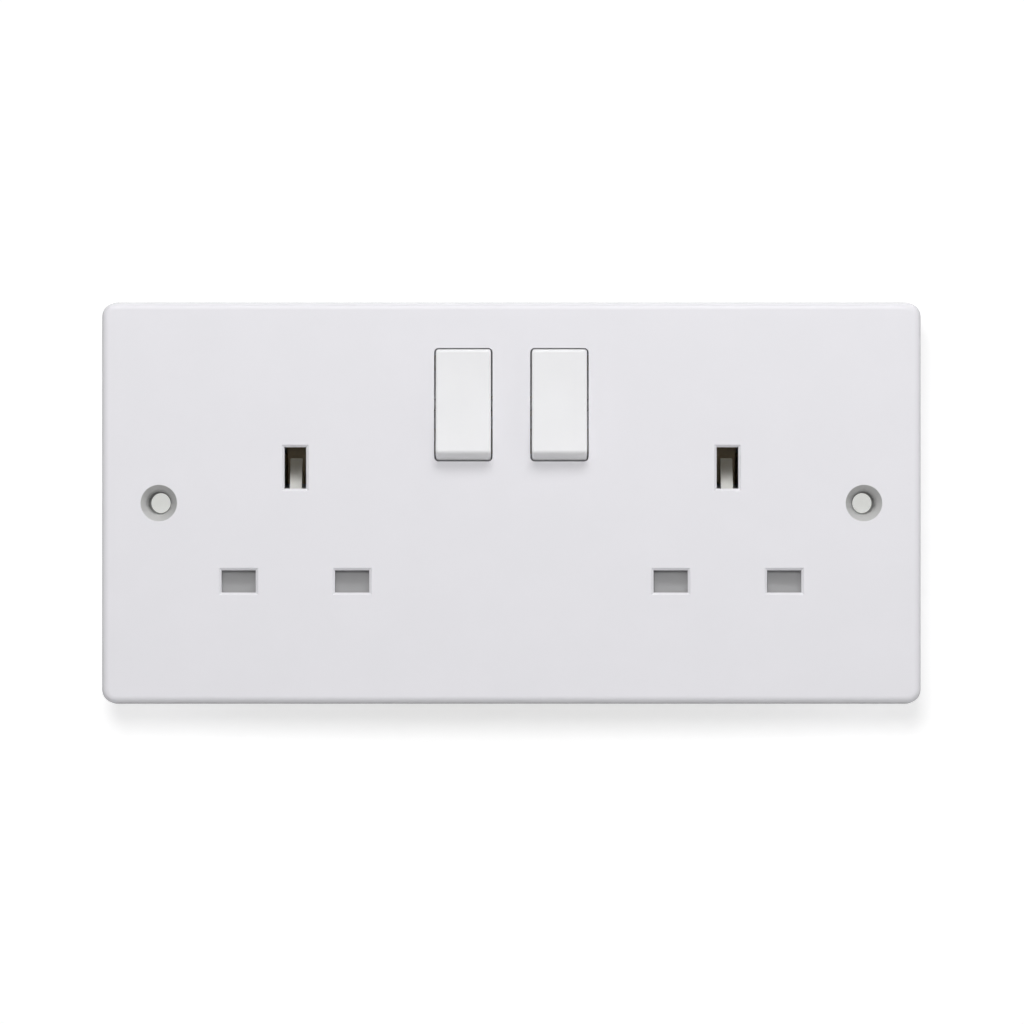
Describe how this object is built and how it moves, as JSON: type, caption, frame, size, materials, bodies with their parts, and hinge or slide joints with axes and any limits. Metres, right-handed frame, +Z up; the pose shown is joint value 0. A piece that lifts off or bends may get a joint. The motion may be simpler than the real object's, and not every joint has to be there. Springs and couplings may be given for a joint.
{
  "type": "double switched wall socket",
  "caption": "Flat rectangular wall socket plate with shuttered rectangular pin slots, rocker switches, countersunk fixing holes and a rear housing with screw terminals.",
  "frame": {"origin": "midway between the two fixing holes, on the wall plane that the plate's back rim lies on", "axes": "+X to the right and +Z up, as the socket hangs on a wall; it faces -Y"},
  "size_m": [0.1612, 0.0303, 0.0792],
  "materials": {
    "plate_plastic": "gloss",
    "housing_plastic": "matte",
    "rocker_plastic": "gloss",
    "shutter_plastic": "matte",
    "plunger_plastic": "matte",
    "spring_steel": "drawn",
    "plated_steel": "plated",
    "contact_silver": "satin",
    "copper_alloy": "rolled",
    "brass": "rolled"
  },
  "bodies": {
    "base": {"front_plate": "plate_plastic", "rear_housing": "housing_plastic", "terminal_block": "housing_plastic", "line_busbar": "brass", "neutral_busbar": "brass", "earth_busbar": "brass", "contact_rivets": "copper_alloy", "terminal_screws": "plated_steel", "housing_screws": "plated_steel", "left_earth_terminal": "brass", "neutral_terminal": "brass", "line_terminal": "brass", "right_earth_terminal": "brass", "left_fixed_tip": "contact_silver", "left_line_contact": "brass", "left_neutral_contact": "brass", "left_earth_contact": "brass", "left_shutter_spring": "spring_steel", "right_fixed_tip": "contact_silver", "right_line_contact": "brass", "right_neutral_contact": "brass", "right_earth_contact": "brass", "right_shutter_spring": "spring_steel"},
    "left_rocker": {"left_rocker": "rocker_plastic", "left_plunger_spring": "spring_steel"},
    "left_plunger": {"left_plunger": "plunger_plastic"},
    "left_switch_blade": {"left_switch_blade": "copper_alloy", "left_moving_tip": "contact_silver"},
    "left_shutter": {"left_shutter": "shutter_plastic"},
    "right_rocker": {"right_rocker": "rocker_plastic", "right_plunger_spring": "spring_steel"},
    "right_plunger": {"right_plunger": "plunger_plastic"},
    "right_switch_blade": {"right_switch_blade": "copper_alloy", "right_moving_tip": "contact_silver"},
    "right_shutter": {"right_shutter": "shutter_plastic"}
  },
  "joints": [
    {"name": "left_rocker_hinge", "type": "hinge", "parent": "base", "child": "left_rocker", "pos_m": [-0.0094, -0.0063, 0.01925], "axis": [1, 0, 0], "range_deg": [0, 15]},
    {"name": "left_plunger_slide", "type": "slide", "parent": "left_rocker", "child": "left_plunger", "axis": [0, 0.9914, -0.1305], "range_m": [-0.0006, 0], "stiffness_N_per_m": 300, "springref_m": 0.002, "deforming": ["left_plunger_spring"]},
    {"name": "left_blade_hinge", "type": "hinge", "parent": "base", "child": "left_switch_blade", "pos_m": [-0.0094, 0.00531, 0.01925], "axis": [1, 0, 0], "range_deg": [-20, 0]},
    {"name": "left_shutter_slide", "type": "slide", "parent": "base", "child": "left_shutter", "axis": [0, 0, -1], "range_m": [0, 0.00595], "stiffness_N_per_m": 150, "springref_m": -0.005, "deforming": ["left_shutter_spring"]},
    {"name": "right_rocker_hinge", "type": "hinge", "parent": "base", "child": "right_rocker", "pos_m": [0.0094, -0.0063, 0.01925], "axis": [1, 0, 0], "range_deg": [0, 15]},
    {"name": "right_plunger_slide", "type": "slide", "parent": "right_rocker", "child": "right_plunger", "axis": [0, 0.9914, -0.1305], "range_m": [-0.0006, 0], "stiffness_N_per_m": 300, "springref_m": 0.002, "deforming": ["right_plunger_spring"]},
    {"name": "right_blade_hinge", "type": "hinge", "parent": "base", "child": "right_switch_blade", "pos_m": [0.0094, 0.00531, 0.01925], "axis": [1, 0, 0], "range_deg": [-20, 0]},
    {"name": "right_shutter_slide", "type": "slide", "parent": "base", "child": "right_shutter", "axis": [0, 0, -1], "range_m": [0, 0.00595], "stiffness_N_per_m": 150, "springref_m": -0.005, "deforming": ["right_shutter_spring"]}
  ],
  "couplings": [
    {"joint": "left_blade_hinge", "follows": "left_rocker_hinge", "ratio": -1.3333},
    {"joint": "right_blade_hinge", "follows": "right_rocker_hinge", "ratio": -1.3333}
  ]
}
